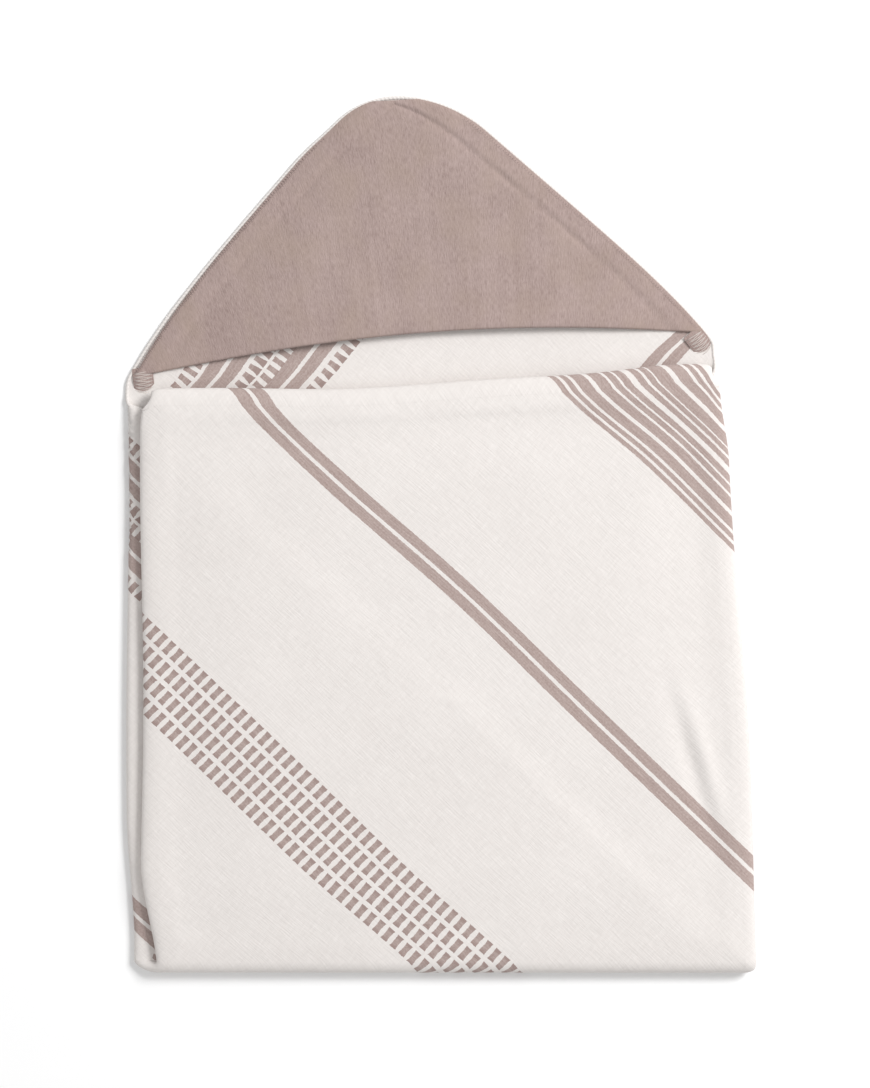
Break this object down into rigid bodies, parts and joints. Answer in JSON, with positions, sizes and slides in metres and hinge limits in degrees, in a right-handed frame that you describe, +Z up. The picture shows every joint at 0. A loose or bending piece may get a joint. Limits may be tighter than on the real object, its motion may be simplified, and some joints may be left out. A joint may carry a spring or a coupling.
{
  "type": "hooded baby towel",
  "caption": "Square cotton baby towel with a sewn corner hood, striped, folded into a flat packet with the hood left showing at the top.",
  "frame": {"origin": "centre of the folded packet, on its underside, where it rests on a surface", "axes": "+X across the packet, along its bottom fold; +Y up the packet towards the hood's tip; +Z up, out of the surface that it lies on"},
  "size_m": [0.4544, 0.6235, 0.015],
  "materials": {
    "towel_cloth": "soft matt woven cotton with flat-woven stripes",
    "towel_hem": "soft matt woven cotton with flat-woven stripes",
    "hood_cloth": "soft matt melange woven cotton",
    "seam_thread": "matt cotton thread"
  },
  "bodies": {
    "back": {"back_panel": "towel_cloth", "back_left_flap": "towel_cloth", "back_left_flap_hem": "towel_hem", "back_left_side_fold": "towel_cloth", "back_right_flap": "towel_cloth", "back_right_flap_hem": "towel_hem", "back_right_side_fold": "towel_cloth"},
    "front": {"front_panel": "towel_cloth", "front_left_flap": "towel_cloth", "front_left_flap_hem": "towel_hem", "front_left_side_fold": "towel_cloth", "front_right_flap": "towel_cloth", "front_right_flap_hem": "towel_hem", "front_right_side_fold": "towel_cloth", "bottom_fold": "towel_cloth", "left_flap_bottom_fold": "towel_cloth", "right_flap_bottom_fold": "towel_cloth"},
    "tip": {"tip_panel": "towel_cloth", "tip_hem": "towel_hem", "top_fold": "towel_cloth"},
    "hood": {"hood_corner": "towel_cloth", "hood_seam": "seam_thread", "left_seam_end": "seam_thread", "right_seam_end": "seam_thread", "hood_panel": "hood_cloth", "hood_opening_hem": "hood_cloth"}
  },
  "joints": [
    {"name": "front_fold", "type": "hinge", "parent": "back", "child": "front", "pos_m": [0, -0.20658, 0.0075], "axis": [1, 0, 0], "range_deg": [0, 179.5], "deforming": ["bottom_fold", "left_flap_bottom_fold", "right_flap_bottom_fold"]},
    {"name": "tip_fold", "type": "hinge", "parent": "front", "child": "tip", "pos_m": [0, 0.20658, 0.0108], "axis": [0.9995, 0.0314, 0], "range_deg": [0, 179.5], "deforming": ["top_fold"]},
    {"name": "hood_fold", "type": "hinge", "parent": "back", "child": "hood", "pos_m": [-0.02379, 0.21892, 0.013], "axis": [0.9984, 0.0558, 0], "range_deg": [0, 179.5]}
  ],
  "couplings": [
    {"joint": "tip_fold", "follows": "front_fold", "ratio": 1}
  ]
}
